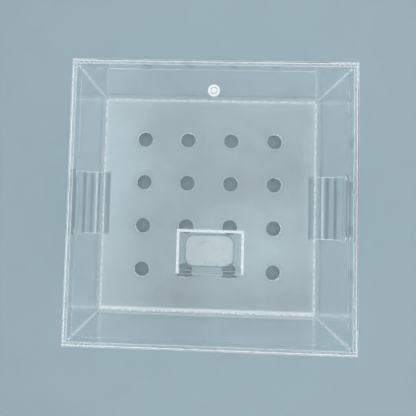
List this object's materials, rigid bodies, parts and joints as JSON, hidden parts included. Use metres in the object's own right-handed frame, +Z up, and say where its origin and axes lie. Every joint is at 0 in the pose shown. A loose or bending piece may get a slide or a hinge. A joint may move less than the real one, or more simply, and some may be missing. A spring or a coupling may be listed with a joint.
{
  "type": "queen cage",
  "caption": "Clear acrylic queen-rearing box: shallow square cage with a ventilated floor, lift-off lid with plugged port, lift-out feed dish and two side hooks.",
  "frame": {"origin": "middle of the footprint, on the surface that the two hooks rest on", "axes": "+X to the right hook, +Y to the back wall, +Z up through the lid"},
  "size_m": [0.154, 0.125, 0.0674],
  "materials": {
    "clear_acrylic": "polished clear sheet with bright cut edges",
    "solvent_cement": "cloudy bead with small bubbles",
    "white_plastic": "satin moulded"
  },
  "bodies": {
    "cage": {"floor_panel": "clear_acrylic", "front_wall": "clear_acrylic", "back_wall": "clear_acrylic", "left_wall": "clear_acrylic", "right_wall": "clear_acrylic", "left_hook": "clear_acrylic", "right_hook": "clear_acrylic", "corner_welds": "solvent_cement", "floor_welds": "solvent_cement", "hook_welds": "solvent_cement"},
    "lid": {"lid_panel": "clear_acrylic", "lid_locating_plate": "clear_acrylic"},
    "plug": {"port_plug": "white_plastic"},
    "dish": {"dish_base": "clear_acrylic", "dish_front_wall": "clear_acrylic", "dish_back_wall": "clear_acrylic", "dish_left_wall": "clear_acrylic", "dish_right_wall": "clear_acrylic", "dish_feet": "clear_acrylic", "dish_welds": "solvent_cement"}
  },
  "joints": [
    {"name": "lid_lift", "type": "slide", "parent": "cage", "child": "lid", "axis": [0, 0, 1], "range_m": [0, 0.08]},
    {"name": "plug_pull", "type": "slide", "parent": "lid", "child": "plug", "axis": [0, 0, 1], "range_m": [0, 0.015]},
    {"name": "dish_lift", "type": "slide", "parent": "cage", "child": "dish", "axis": [0, 0, 1], "range_m": [0, 0.035]}
  ]
}
